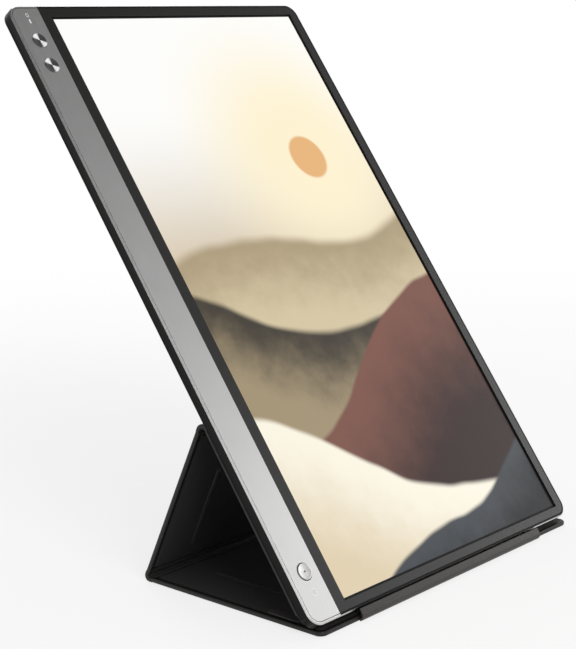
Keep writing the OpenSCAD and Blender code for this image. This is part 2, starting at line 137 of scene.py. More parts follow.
def new_material(name):
    """A material with its shader, ready for nodes."""
    mat = bpy.data.materials.new(name)
    mat.use_nodes = True
    tree = mat.node_tree
    return mat, tree, tree.nodes["Principled BSDF"]


def math_node(tree, kind, a, b=0.0, c=0.0):
    """A math node on up to three values or sockets."""
    node = tree.nodes.new("ShaderNodeMath")
    node.operation = kind
    for slot, value in zip(node.inputs, (a, b, c)):
        if hasattr(value, "links"):
            tree.links.new(value, slot)
        else:
            slot.default_value = value
    return node.outputs[0]


def mapped(tree, place=None, scale=(1, 1, 1)):
    """Object coordinates, laid flat on a panel and scaled."""
    coords = tree.nodes.new("ShaderNodeTexCoord").outputs["Object"]
    if place is not None:
        lay = tree.nodes.new("ShaderNodeMapping")
        lay.vector_type = "TEXTURE"
        lay.inputs["Location"].default_value = place.translation
        lay.inputs["Rotation"].default_value = place.to_euler()
        tree.links.new(coords, lay.inputs["Vector"])
        coords = lay.outputs[0]
    if tuple(scale) != (1, 1, 1):
        size = tree.nodes.new("ShaderNodeMapping")
        size.inputs["Scale"].default_value = scale
        tree.links.new(coords, size.inputs["Vector"])
        coords = size.outputs[0]
    return coords


def noise(tree, coords, scale, detail=3.0, rough=0.55):
    """A noise texture's value."""
    tex = tree.nodes.new("ShaderNodeTexNoise")
    tex.inputs["Scale"].default_value = scale
    tex.inputs["Detail"].default_value = detail
    tex.inputs["Roughness"].default_value = rough
    tree.links.new(coords, tex.inputs["Vector"])
    return tex.outputs[0]


def cells(tree, coords, scale, feature="F1"):
    """Distance in a cell pattern."""
    tex = tree.nodes.new("ShaderNodeTexVoronoi")
    tex.feature = feature
    tex.inputs["Scale"].default_value = scale
    tree.links.new(coords, tex.inputs["Vector"])
    return tex.outputs["Distance"]


def spread(tree, value, low, high, to_low=0.0, to_high=1.0, smooth=False):
    """A value taken from one range to another."""
    node = tree.nodes.new("ShaderNodeMapRange")
    node.interpolation_type = "SMOOTHSTEP" if smooth else "LINEAR"
    for slot, amount in zip(("From Min", "From Max", "To Min", "To Max"), (low, high, to_low, to_high)):
        node.inputs[slot].default_value = amount
    tree.links.new(value, node.inputs["Value"])
    return node.outputs["Result"]


def tint(tree, share, low, high):
    """A colour between two, by a value from 0 to 1. Either may be another tint."""
    node = tree.nodes.new("ShaderNodeMix")
    node.data_type = "RGBA"
    tree.links.new(share, node.inputs["Factor"])
    for slot, colour in ((node.inputs[6], low), (node.inputs[7], high)):
        if hasattr(colour, "links"):
            tree.links.new(colour, slot)
        else:
            slot.default_value = (*colour, 1)
    return node.outputs[2]


def bump(tree, shader, height, distance, strength=1.0, under=None):
    """Raises the surface by a height in metres."""
    node = tree.nodes.new("ShaderNodeBump")
    node.inputs["Distance"].default_value = distance
    node.inputs["Strength"].default_value = strength
    tree.links.new(height, node.inputs["Height"])
    if under is not None:
        tree.links.new(under, node.inputs["Normal"])
    tree.links.new(node.outputs[0], shader.inputs["Normal"])
    return node.outputs[0]


def worn(name, low, high, rough, metal=0.0, grain=900.0, patch=25.0, depth=0.00002, gloss=0.5):
    """A surface with broad patches of colour and a fine grain, for plastic, paint and metal."""
    mat, tree, shader = new_material(name)
    coords = mapped(tree)
    broad = noise(tree, coords, patch, 4)
    fine = noise(tree, coords, grain, 2)
    tree.links.new(tint(tree, spread(tree, broad, 0.3, 0.7), low, high), shader.inputs["Base Color"])
    tree.links.new(spread(tree, fine, 0.3, 0.7, rough - 0.05, rough + 0.05), shader.inputs["Roughness"])
    shader.inputs["Metallic"].default_value = metal
    shader.inputs["Specular IOR Level"].default_value = gloss
    bump(tree, shader, fine, depth, 0.6)
    return mat


def brushed(name, low, high, rough, place, along, depth=0.000006):
    """Satin metal brushed along one way of a panel."""
    mat, tree, shader = new_material(name)
    scale = (1, 0.012, 1) if along == "Y" else (0.012, 1, 1)
    lines = noise(tree, mapped(tree, place, scale), 5200, 3, 0.7)
    soft = noise(tree, mapped(tree), 18, 3)
    share = math_node(tree, "MULTIPLY_ADD", lines, 0.56, math_node(tree, "MULTIPLY_ADD", soft, 0.2, 0.12))
    tree.links.new(tint(tree, spread(tree, share, 0.25, 0.75), low, high), shader.inputs["Base Color"])
    tree.links.new(spread(tree, lines, 0.3, 0.7, rough - 0.05, rough + 0.06), shader.inputs["Roughness"])
    shader.inputs["Metallic"].default_value = 1.0
    bump(tree, shader, lines, depth, 0.5)
    return mat


def leather(name, low, high, rough, pebble=1500.0, depth=0.00009, crease=0.0):
    """Fine pebbled leather with soft creases and a slight change of colour."""
    mat, tree, shader = new_material(name)
    coords = mapped(tree)
    bend = noise(tree, coords, 220, 2)
    pebbles = cells(tree, coords, pebble)
    edges = cells(tree, coords, pebble * 0.55, "SMOOTH_F1")
    broad = noise(tree, coords, 14, 5)
    share = math_node(tree, "ADD", math_node(tree, "MULTIPLY", broad, 0.75), math_node(tree, "MULTIPLY", pebbles, 0.3))
    tree.links.new(tint(tree, spread(tree, share, 0.3, 0.75), low, high), shader.inputs["Base Color"])
    tree.links.new(spread(tree, pebbles, 0.0, 0.9, rough + 0.08, rough - 0.06), shader.inputs["Roughness"])
    shader.inputs["Specular IOR Level"].default_value = 0.34
    height = math_node(tree, "ADD", math_node(tree, "MULTIPLY", pebbles, -0.6), math_node(tree, "MULTIPLY", edges, -0.4))
    height = math_node(tree, "ADD", height, math_node(tree, "MULTIPLY", bend, 0.5))
    grain = bump(tree, shader, height, depth, 0.55)
    if crease:
        folds = noise(tree, mapped(tree, None, (0.12, 1, 1)), 420, 3, 0.6)
        bump(tree, shader, folds, crease, 0.5, grain)
    return mat


def lining_cloth(name, low, high, rough=0.68):
    """Smooth microfibre lining, with a short nap."""
    mat, tree, shader = new_material(name)
    coords = mapped(tree)
    nap = noise(tree, coords, 2600, 2, 0.7)
    broad = noise(tree, coords, 22, 4)
    share = math_node(tree, "ADD", math_node(tree, "MULTIPLY", broad, 0.8), math_node(tree, "MULTIPLY", nap, 0.2))
    tree.links.new(tint(tree, spread(tree, share, 0.3, 0.7), low, high), shader.inputs["Base Color"])
    shader.inputs["Roughness"].default_value = rough
    shader.inputs["Sheen Weight"].default_value = 0.06
    shader.inputs["Sheen Roughness"].default_value = 0.5
    bump(tree, shader, nap, 0.00003, 0.6)
    return mat


# Materials

FRAME_PAINT = worn(
    "frame dark satin paint", (0.0035, 0.0032, 0.0030), (0.0055, 0.0051, 0.0049), 0.40, grain=2200, gloss=0.15
)
POLISHED_EDGE = brushed(
    "polished frame edge", (0.54, 0.54, 0.535), (0.60, 0.60, 0.595), 0.26, on_screen, "Y", 0.0000004
)
REAR_SHELL = worn(
    "rear shell textured plastic", (0.014, 0.0135, 0.013), (0.020, 0.019, 0.0185), 0.5, grain=1600, depth=0.00004
)
BEZEL_PLASTIC = worn(
    "bezel matte plastic", (0.0040, 0.0034, 0.0030), (0.0062, 0.0053, 0.0048), 0.40, grain=2600, depth=0.00001, gloss=0.42
)
STRIP_METAL = brushed(
    "control strip brushed metal", (0.575, 0.57, 0.57), (0.69, 0.685, 0.68), 0.36, on_screen, "Y"
)
LEATHER = leather("cover leather", (0.0060, 0.0050, 0.0046), (0.0110, 0.0094, 0.0087), 0.44)
FOLD_LEATHER = leather("fold leather", (0.0060, 0.0050, 0.0046), (0.0110, 0.0094, 0.0087), 0.42, crease=0.0003)
# The lip's leather is the cover's leather with painted light: its colour is several times lighter, as though more lit
LIP_LEATHER_PAINTED_LIGHTER = leather("lip leather", (0.030, 0.0268, 0.0246), (0.0405, 0.036, 0.033), 0.42, depth=0.00005)
LINING = lining_cloth("cover lining", (0.0032, 0.0026, 0.0025), (0.0058, 0.0049, 0.0047))
# Smoother lining for the pressed ribs and magnet bulges, with a painted sheen: its colour is several times lighter than
# the lining's
PRESSED_LINING_PAINTED_SHEEN = lining_cloth("pressed lining", (0.026, 0.023, 0.022), (0.036, 0.032, 0.031), 0.42)
SOCKET_STEEL = worn("socket steel", (0.45, 0.45, 0.45), (0.58, 0.58, 0.57), 0.28, 1.0)
DARK_GAP = worn("dark plastic", (0.004, 0.004, 0.004), (0.007, 0.007, 0.007), 0.6, gloss=0.2)
LENS = worn("frosted lens", (0.60, 0.61, 0.63), (0.68, 0.69, 0.71), 0.25)
MARK_PAINT = worn("pale printed mark", (0.76, 0.76, 0.76), (0.84, 0.84, 0.84), 0.5)
BOARD = worn("green circuit board", (0.010, 0.055, 0.022), (0.016, 0.085, 0.035), 0.4)
STEEL = worn("plated steel", (0.42, 0.42, 0.42), (0.55, 0.55, 0.54), 0.32, 1.0)
CARD = worn("stiff card", (0.20, 0.155, 0.10), (0.28, 0.22, 0.15), 0.85, grain=700)
ACRYLIC = worn("light guide acrylic", (0.80, 0.81, 0.80), (0.88, 0.88, 0.87), 0.2)
FILM = worn("amber ribbon film", (0.36, 0.17, 0.04), (0.45, 0.23, 0.06), 0.35)
SWITCH = worn("moulded switch plastic", (0.03, 0.03, 0.03), (0.045, 0.045, 0.045), 0.5)


ROUND_MAP = "round"
# Way of the painted highlight wedges on a spun button, from the way across the screen
HIGHLIGHT_TURN = math.radians(124)


def spun_metal_painted_highlights(name, low, high, highlight_share, painted_glare):
    """Button face turned on a lathe: two painted highlight wedges and fine painted highlight rays in its colour, on the
    piece's own map; in the wedges the metal drops by the glare amount, a painted glare.
    """
    mat, tree, shader = new_material(name)
    uv = tree.nodes.new("ShaderNodeUVMap")
    uv.uv_map = ROUND_MAP
    parts = tree.nodes.new("ShaderNodeSeparateXYZ")
    tree.links.new(uv.outputs[0], parts.inputs[0])
    turn = math_node(tree, "MULTIPLY_ADD", parts.outputs["Y"], 4 * math.pi, -2 * HIGHLIGHT_TURN)
    painted_highlight = spread(tree, math_node(tree, "COSINE", turn), -0.1, 0.9, 0.0, 1.0, True)
    painted_rays = math_node(tree, "SINE", math_node(tree, "MULTIPLY", parts.outputs["Y"], 240.0))
    share = math_node(tree, "MULTIPLY_ADD", painted_rays, 0.08, math_node(tree, "MULTIPLY_ADD", painted_highlight, highlight_share, 0.5 - highlight_share / 2))
    face = tint(tree, spread(tree, share, 0.0, 1.0), low, high)
    tree.links.new(face, shader.inputs["Base Color"])
    tree.links.new(spread(tree, painted_highlight, 0.0, 1.0, 1.0, 1.0 - painted_glare), shader.inputs["Metallic"])
    shader.inputs["Roughness"].default_value = 0.38
    return mat


# Both button metals carry painted highlights: bright wedges and rays in their colour, not reflections
SPUN_PAINTED_HIGHLIGHTS = spun_metal_painted_highlights("spun button metal", (0.14, 0.14, 0.14), (0.96, 0.96, 0.96), 1.0, 0.8)
SATIN_SPUN_PAINTED_HIGHLIGHTS = spun_metal_painted_highlights("satin button metal", (0.54, 0.535, 0.53), (0.70, 0.695, 0.69), 0.7, 0.0)


def wallpaper():
    """A made-up landscape for the lit picture: a pale sky, a soft sun and layered hills."""
    mat, tree, shader = new_material("lit picture")
    place = on_screen @ Matrix.Translation((PICTURE_X, BEZEL_BOTTOM, 0))
    parts = tree.nodes.new("ShaderNodeSeparateXYZ")
    tree.links.new(mapped(tree, place, (1 / PICTURE_W, 1 / PICTURE_H, 1)), parts.inputs[0])
    across, up = parts.outputs["X"], parts.outputs["Y"]
    haze = noise(tree, mapped(tree, place, (1, 1, 0)), 9, 3, 0.5)
    grain = noise(tree, mapped(tree, place, (1, 1, 0)), 60, 4, 0.6)

    sky = tint(tree, spread(tree, up, 0.45, 0.84, smooth=True), (0.62, 0.50, 0.33), (0.97, 0.97, 0.955))
    side = math_node(tree, "SUBTRACT", across, 0.74)
    rise = math_node(tree, "MULTIPLY", math_node(tree, "SUBTRACT", up, 0.71), PICTURE_H / PICTURE_W)
    away = math_node(tree, "SQRT", math_node(tree, "MULTIPLY_ADD", side, side, math_node(tree, "MULTIPLY", rise, rise)))
    picture = tint(tree, spread(tree, away, 0.10, 0.60, 1, 0, True), sky, (0.97, 0.87, 0.62))
    picture = tint(tree, spread(tree, away, 0.068, 0.080, 1, 0, True), picture, (0.80, 0.46, 0.20))

    def hill(under, height, slant, swell, waves, shift, far, near, edge, drop):
        """One range of hills laid over what is behind it."""
        wave = math_node(tree, "SINE", math_node(tree, "MULTIPLY_ADD", across, waves, shift))
        top = math_node(tree, "MULTIPLY_ADD", across, slant, height)
        top = math_node(tree, "MULTIPLY_ADD", wave, swell, top)
        top = math_node(tree, "MULTIPLY_ADD", haze, 0.07, top)
        below = math_node(tree, "SUBTRACT", top, up)
        depth = math_node(tree, "MULTIPLY_ADD", math_node(tree, "SUBTRACT", grain, 0.5), 0.10, below)
        body = tint(tree, spread(tree, depth, 0.0, drop, smooth=True), far, near)
        return tint(tree, spread(tree, below, -edge, edge, smooth=True), under, body)

    picture = hill(picture, 0.50, 0.06, 0.028, 5.0, 0.6, (0.42, 0.335, 0.205), (0.66, 0.56, 0.37), 0.012, 0.16)
    picture = hill(picture, 0.44, -0.13, 0.032, 6.5, 2.4, (0.055, 0.046, 0.034), (0.36, 0.285, 0.175), 0.008, 0.16)
    picture = hill(picture, 0.19, 0.21, 0.040, 5.2, 3.6, (0.205, 0.088, 0.066), (0.030, 0.013, 0.012), 0.005, 0.26)
    picture = hill(picture, 0.235, -0.26, 0.020, 7.5, 1.1, (0.95, 0.90, 0.76), (0.74, 0.62, 0.43), 0.007, 0.24)
    picture = hill(picture, -0.07, 0.15, 0.016, 8.0, 5.2, (0.055, 0.062, 0.072), (0.010, 0.011, 0.013), 0.005, 0.10)
    tree.links.new(picture, shader.inputs["Emission Color"])
    shader.inputs["Emission Strength"].default_value = 1.0
    shader.inputs["Base Color"].default_value = (0.006, 0.006, 0.006, 1)
    shader.inputs["Roughness"].default_value = 0.35
    shader.inputs["Specular IOR Level"].default_value = 0.12
    return mat


# Modelling helpers


def deselect():
    """Nothing selected, in object mode."""
    if bpy.context.object and bpy.context.object.mode != "OBJECT":
        bpy.ops.object.mode_set(mode="OBJECT")
    bpy.ops.object.select_all(action="DESELECT")


def only(obj):
    """Just this piece selected and active."""
    deselect()
    obj.select_set(True)
    bpy.context.view_layer.objects.active = obj


def block(name, low, high):
    """A block between two corners, ready to be shaped."""
    deselect()
    low, high = Vector(low), Vector(high)
    bpy.ops.mesh.primitive_cube_add(size=1, location=(low + high) / 2, scale=high - low)
    bpy.ops.object.transform_apply(location=True, rotation=True, scale=True)
    bpy.context.object.name = name
    return bpy.context.object


def pick(obj, kind, test):
    """Edit mode, with the faces or edges selected whose middle and normal pass the test."""
    only(obj)
    bpy.ops.object.mode_set(mode="EDIT")
    bpy.ops.mesh.select_mode(type="FACE" if kind == "faces" else "EDGE")
    bpy.ops.mesh.select_all(action="DESELECT")
    mesh = bmesh.from_edit_mesh(obj.data)
    for item in getattr(mesh, kind):
        middle = sum((v.co for v in item.verts), Vector()) / len(item.verts)
        along = item.normal if kind == "faces" else (item.verts[1].co - item.verts[0].co).normalized()
        if test(middle, along):
            item.select_set(True)
    mesh.select_flush_mode()
    bmesh.update_edit_mesh(obj.data)


def bevel(obj, test, width, segments=4, profile=0.5):
    """Rounds the edges that pass the test."""
    pick(obj, "edges", test)
    bpy.ops.mesh.bevel(offset=width, segments=segments, profile=profile, affect="EDGES")
    bpy.ops.object.mode_set(mode="OBJECT")


def inset_down(obj, test, width, depth):
    """Insets the faces that pass the test and sinks them."""
    pick(obj, "faces", test)
    bpy.ops.mesh.inset(thickness=width, depth=0)
    bpy.ops.mesh.extrude_region_move(TRANSFORM_OT_translate={"value": (0, 0, -depth)})
    bpy.ops.object.mode_set(mode="OBJECT")


def cut(obj, *cutters):
    """Takes the cutters out of the piece."""
    for tool in cutters:
        only(obj)
        mod = obj.modifiers.new("cut", "BOOLEAN")
        mod.operation = "DIFFERENCE"
        mod.solver = "EXACT"
        mod.object = tool
        bpy.ops.object.modifier_apply(modifier=mod.name)
        bpy.data.objects.remove(tool)


def shade(obj, angle=35):
    """Smooth shading that keeps wide faces flat and sharp edges crisp."""
    only(obj)
    bpy.ops.object.shade_smooth_by_angle(angle=math.radians(angle))
    mod = obj.modifiers.new("flat faces", "WEIGHTED_NORMAL")
    mod.keep_sharp = True
    mod.weight = 100
    bpy.ops.object.modifier_apply(modifier=mod.name)


def soften(obj, width, segments=3, angle=40):
    """Small round on every sharp edge, then smooth shading."""
    only(obj)
    mod = obj.modifiers.new("soften", "BEVEL")
    mod.width = width
    mod.segments = segments
    mod.limit_method = "ANGLE"
    mod.angle_limit = math.radians(angle)
    bpy.ops.object.modifier_apply(modifier=mod.name)
    shade(obj)


def rod(name, radius, low, high, sides=48):
    """A round post along Z, from one level to another, at a place."""
    deselect()
    depth = high[2] - low[2]
    bpy.ops.mesh.primitive_cylinder_add(vertices=sides, radius=radius, depth=depth, location=(low[0], low[1], low[2] + depth / 2))
    bpy.ops.object.transform_apply(location=True, rotation=True, scale=True)
    bpy.context.object.name = name
    return bpy.context.object


def set_place(obj, place, body, mat, stands_for=()):
    """Tips the shaped piece into place, gives it its finish and lets it ride."""
    only(obj)
    obj.matrix_world = place @ obj.matrix_world
    bpy.ops.object.transform_apply(location=True, rotation=True, scale=True)
    if mat is not None:
        obj.data.materials.clear()
        obj.data.materials.append(mat)
    if stands_for:
        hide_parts(*stands_for)
    if body:
        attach(obj, body)
    return obj


def upright(middle, along):
    """True for edges that run along Z."""
    return abs(along.z) > 0.9


def slab(name, low, high, corner, segments=14):
    """A flat plate with round corners, as seen along Z."""
    obj = block(name, low, high)
    bevel(obj, upright, corner, segments)
    return obj


def turned(name, steps, sides=64):
    """A turned piece about Z at the origin: circles of a radius at a height, from the foot up."""
    deselect()
    radius, height = steps[0]
    bpy.ops.mesh.primitive_circle_add(vertices=sides, radius=radius, fill_type="NGON", location=(0, 0, height))
    bpy.ops.object.transform_apply(location=True, rotation=True, scale=True)
    obj = bpy.context.object
    obj.name = name
    bpy.ops.object.mode_set(mode="EDIT")
    bpy.ops.mesh.select_all(action="SELECT")
    for next_radius, next_height in steps[1:]:
        bpy.ops.mesh.extrude_region_move(TRANSFORM_OT_translate={"value": (0, 0, next_height - height)})
        size = next_radius / radius
        bpy.ops.transform.resize(value=(size, size, 1), center_override=(0, 0, 0))
        radius, height = next_radius, next_height
    bpy.ops.mesh.select_all(action="SELECT")
    bpy.ops.mesh.normals_make_consistent(inside=False)
    bpy.ops.object.mode_set(mode="OBJECT")
    shade(obj, 32)
    return obj


def polar_map(obj, radius):
    """A map on a turned piece: along U from the middle out, along V round it."""
    while obj.data.uv_layers:
        obj.data.uv_layers.remove(obj.data.uv_layers[0])
    layer = obj.data.uv_layers.new(name=ROUND_MAP)
    for face in obj.data.polygons:
        middle = math.atan2(face.center.y, face.center.x)
        for loop in face.loop_indices:
            at = obj.data.vertices[obj.data.loops[loop].vertex_index].co
            angle = math.atan2(at.y, at.x)
            angle += 2 * math.pi * round((middle - angle) / (2 * math.pi))
            layer.data[loop].uv = (at.xy.length / radius, angle / (2 * math.pi))


def bar(name, section, low_x, high_x):
    """A bar along X whose section is a list of points in Y and Z."""
    deselect()
    bpy.ops.mesh.primitive_circle_add(vertices=len(section), radius=1, fill_type="NGON")
    obj = bpy.context.object
    obj.name = name
    for vertex, (y, z) in zip(obj.data.vertices, section):
        vertex.co = (low_x, y, z)
    bpy.ops.object.mode_set(mode="EDIT")
    bpy.ops.mesh.select_all(action="SELECT")
    bpy.ops.mesh.extrude_region_move(TRANSFORM_OT_translate={"value": (high_x - low_x, 0, 0)})
    bpy.ops.mesh.select_all(action="SELECT")
    bpy.ops.mesh.normals_make_consistent(inside=False)
    bpy.ops.object.mode_set(mode="OBJECT")
    return obj


def capsule(name, radius, start, end):
    """A rod with round ends between two points at one height, along Y."""
    deselect()
    length = end[1] - start[1]
    middle = (start[0], (start[1] + end[1]) / 2, start[2])
    bpy.ops.mesh.primitive_uv_sphere_add(segments=24, ring_count=16, radius=radius, location=middle, rotation=(math.pi / 2, 0, 0))
    bpy.ops.object.transform_apply(location=False, rotation=True, scale=True)
    obj = bpy.context.object
    obj.name = name
    for vertex in obj.data.vertices:
        if abs(vertex.co.y) > radius * 0.01:
            vertex.co.y += math.copysign(length / 2, vertex.co.y)
        else:
            vertex.co.y = 0
    bpy.ops.object.transform_apply(location=True, rotation=False, scale=False)
    return obj


# The monitor

strip_edge = LEFT + STRIP_W
SEAM = 0.15 * MM
GROOVE = 0.25 * MM
FRONT_T = 0.9 * MM
frame_corner = CORNER - FRAME_WALL
RIM_CHAMFER = 0.5 * MM
LEDGE_T = 1.0 * MM
ledge_in = FRAME_WALL + 1.5 * MM
REAR_RIM = 0.3 * MM
TAPER_IN = 0.985 * BACK_TAPER


def front_rim(middle, along):
    """Edges of the outer wall at the front."""
    inside = (
        LEFT + RIM_CHAMFER < middle.x < LEFT + MON_W - RIM_CHAMFER
        and RIM_CHAMFER < middle.y < MON_H - RIM_CHAMFER
    )
    corner = (abs(middle.x - LEFT) < CORNER or abs(middle.x - LEFT - MON_W) < CORNER) and (
        middle.y < CORNER or middle.y > MON_H - CORNER
    )
    if corner:
        cx = LEFT + CORNER if middle.x < 0 else LEFT + MON_W - CORNER
        cy = CORNER if middle.y < MON_H / 2 else MON_H - CORNER
        inside = math.hypot(middle.x - cx, middle.y - cy) < CORNER - RIM_CHAMFER
    return abs(middle.z) < 1e-6 and not inside


def make_side_frame():
    """Painted frame with its polished chamfer, and the socket's mouth in its top wall."""
    obj = slab("side_frame_shell", (LEFT, 0, -WALL_D), (LEFT + MON_W, MON_H, 0), CORNER, 16)
    bevel(obj, front_rim, RIM_CHAMFER, 1)
    hollow = slab(
        "hollow",
        (LEFT + ledge_in, ledge_in, -2 * WALL_D),
        (LEFT + MON_W - ledge_in, MON_H - ledge_in, WALL_D),
        CORNER - ledge_in,
        16,
    )
    socket_low, socket_high = turned_box("type_c_socket", SLOPE)
    middle = (socket_low + socket_high) / 2
    depth = middle.z - frame_high.z
    half_w = (socket_high.x - socket_low.x) / 2 + SEAM
    half_h = (socket_high.z - socket_low.z) / 2 + SEAM
    mouth = block(
        "mouth",
        (middle.x - half_w, MON_H - 3 * FRAME_WALL, depth - half_h),
        (middle.x + half_w, MON_H + FRAME_WALL, depth + half_h),
    )
    bevel(mouth, lambda at, along: abs(along.y) > 0.9, half_h * 0.98, 10)
    well = slab(
        "well",
        (LEFT + FRAME_WALL, FRAME_WALL, -FRONT_T),
        (LEFT + MON_W - FRAME_WALL, MON_H - FRAME_WALL, WALL_D),
        frame_corner,
        16,
    )
    under = slab(
        "under",
        (LEFT + FRAME_WALL, FRAME_WALL, -2 * WALL_D),
        (LEFT + MON_W - FRAME_WALL, MON_H - FRAME_WALL, -FRONT_T - LEDGE_T),
        frame_corner,
        16,
    )
    cut(obj, hollow, well, under, mouth)
    soften(obj, 0.09 * MM, 2, 60)
    only(obj)
    bpy.ops.object.mode_set(mode="EDIT")
    bpy.ops.mesh.select_all(action="SELECT")
    bpy.ops.mesh.bisect(plane_co=(strip_edge, 0, 0), plane_no=(1, 0, 0))
    bpy.ops.object.mode_set(mode="OBJECT")
    obj.data.materials.clear()
    for mat in (FRAME_PAINT, POLISHED_EDGE, STRIP_METAL):
        obj.data.materials.append(mat)
    middle = Vector((LEFT + MON_W / 2, MON_H / 2, 0))
    for face in obj.data.polygons:
        outward = face.normal.xy.dot((face.center - middle).xy) > 0
        if face.center.z > -1.2 * RIM_CHAMFER and 0.5 < face.normal.z < 0.9 and outward:
            face.material_index = 1
        elif face.center.z > -0.12 * MM and face.normal.z > 0.4 and face.center.x < strip_edge:
            face.material_index = 2
        else:
            face.material_index = 0
    set_place(obj, on_screen, "monitor", None, ["side_frame"])


def tapered(name, inset, top, mid, foot, steps):
    """A slab with round corners whose foot is drawn in along a soft taper, down from a level."""
    low = (LEFT + inset, inset, mid)
    high = (LEFT + MON_W - inset, MON_H - inset, top)
    obj = slab(name, low, high, CORNER - inset, 16)
    pick(obj, "faces", lambda at, along: along.z < -0.9)
    last_in, last_down = 0.0, 0.0
    for step in range(1, steps + 1):
        t = step / steps
        inward = 2 * t * (1 - t) * 0.30 + t * t
        down = 2 * t * (1 - t) * 0.72 + t * t
        bpy.ops.mesh.inset(
            thickness=(inward - last_in) * TAPER_IN, depth=(down - last_down) * (mid - foot)
        )
        last_in, last_down = inward, down
    bpy.ops.object.mode_set(mode="OBJECT")
    return obj


def make_rear_cover():
    """Rear shell: a short wall, then a soft taper down to the flat back, hollow from the front."""
    wall = 1.0 * MM
    obj = tapered("rear_shell", 0, REAR_RIM - WALL_D, -WALL_D, -MON_T, 10)
    cut(obj, tapered("hollow", wall, 0, wall / 2 - WALL_D, wall - MON_T, 6))
    shade(obj, 30)
    set_place(obj, on_screen, "monitor", REAR_SHELL, ["rear_cover"])


def front_plate(name, low_x, high_x, rounded):
    """A plate inside the frame's rim, with round corners on the sides that the test names."""
    edge = FRAME_WALL + GROOVE
    obj = block(name, (low_x, edge, -FRONT_T), (high_x, MON_H - edge, 0))
    bevel(obj, lambda at, along: upright(at, along) and rounded(at), CORNER - edge, 14)
    return obj


def make_bezel():
    """Matte bezel round three sides of the picture."""
    high_x = LEFT + MON_W - FRAME_WALL - GROOVE
    obj = front_plate("bezel_plate", strip_edge + SEAM, high_x, lambda at: at.x > 0)
    window = block(
        "window",
        (PICTURE_X - BLACK_EDGE, BEZEL_BOTTOM - BLACK_EDGE, -0.01),
        (PICTURE_X + PICTURE_W + BLACK_EDGE, BEZEL_BOTTOM + PICTURE_H + BLACK_EDGE, 0.01),
    )
    cut(obj, window)
    soften(obj, 0.12 * MM)
    set_place(obj, on_screen, "monitor", BEZEL_PLASTIC, ["front_bezel"])


def screen_spot(node):
    """Middle of a node, across and up the screen."""
    low, high = turned_box(node, SLOPE)
    return (low.x + high.x) / 2, (low.y + high.y) / 2 - frame_low.y


keys = {
    "menu_button_upper": ("upper_key", 0.2 * MM),
    "menu_button_lower": ("lower_key", 0.2 * MM),
    "power_button": ("power_key", 0.35 * MM),
}


def make_strip():
    """Metal control strip, drilled for the buttons and the lens."""
    low_x = LEFT + FRAME_WALL + GROOVE
    obj = front_plate("control_strip", low_x, strip_edge, lambda at: at.x < LEFT + 2 * FRAME_WALL)
    for node, (body, gap) in keys.items():
        x, y = screen_spot(node)
        cut(obj, rod("hole", BUTTON_R + gap, (x, y, -0.01), (x, y, 0.01), 72))
    x, y = screen_spot("indicator_lens")
    cut(obj, rod("hole", 0.9 * MM, (x, y, -0.01), (x, y, 0.01), 32))
    soften(obj, 0.07 * MM)
    set_place(obj, on_screen, "monitor", STRIP_METAL, ["front_strip"])


def make_buttons():
    """Three turned buttons with a dished face, each with its flange and stem below the strip."""
    steps = [
        (1.5, -3.3), (1.5, -1.75), (4.9, -1.75), (4.9, -1.15), (3.9, -1.15), (3.9, 0.24),
        (3.84, 0.34), (3.7, 0.39), (3.45, 0.40), (3.3, 0.37), (2.6, 0.30), (1.7, 0.25),
        (0.8, 0.22), (0.42, 0.22), (0.34, 0.14), (0.08, 0.12),
    ]
    for node, (body, gap) in keys.items():
        x, y = screen_spot(node)
        obj = turned(node + "_cap", [(r * MM, z * MM) for r, z in steps], 72)
        polar_map(obj, BUTTON_R)
        obj.data.materials.clear()
        obj.data.materials.append(SATIN_SPUN_PAINTED_HIGHLIGHTS if node == "power_button" else SPUN_PAINTED_HIGHLIGHTS)
        obj.data.materials.append(DARK_GAP)
        for face in obj.data.polygons:
            dot = node == "power_button" and face.center.z > 0 and face.center.xy.length < 0.42 * MM
            face.material_index = 1 if dot or face.center.z < -1.0 * MM else 0
        place = on_screen @ Matrix.Translation((x, y, 0))
        set_place(obj, place, body, None, [node])


def make_lens_and_marks():
    """Indicator lens in a thin pale ring, and the small marks at the strip's ends."""
    x, y = screen_spot("indicator_lens")
    lens = turned("indicator_dome", [(0.85 * MM, -0.9 * MM), (0.85 * MM, -0.02 * MM), (0.7 * MM, 0.05 * MM), (0.3 * MM, 0.09 * MM)], 40)
    set_place(lens, on_screen @ Matrix.Translation((x, y, 0)), "monitor", LENS, ["indicator_lens"])
    ring = turned("indicator_ring", [(1.75 * MM, -0.02 * MM), (1.75 * MM, 0.015 * MM), (1.5 * MM, 0.015 * MM), (1.5 * MM, -0.02 * MM)], 48)
    set_place(ring, on_screen @ Matrix.Translation((x, y, 0)), "monitor", MARK_PAINT)
    socket_x = screen_spot("type_c_socket")[0]
    top, foot = MON_H - 4.4 * MM, MON_H - 6.6 * MM
    rim = 0.28 * MM
    half = 0.8 * MM
    low, high = -0.02 * MM, 0.015 * MM
    outer = slab("socket_mark", (socket_x - half, foot, low), (socket_x + half, top, high), 0.6 * MM, 8)
    inner = slab(
        "inner", (socket_x - half + rim, foot + rim, -MM), (socket_x + half - rim, top - rim, MM), 0.3 * MM, 8
    )
    cut(outer, inner)
    set_place(outer, on_screen, "monitor", MARK_PAINT)
    dash_top = foot - 1.2 * MM
    dash = slab(
        "plug_mark", (socket_x - half / 2, dash_top - 2.4 * MM, low), (socket_x + half / 2, dash_top, high), 0.35 * MM, 6
    )
    set_place(dash, on_screen, "monitor", MARK_PAINT)


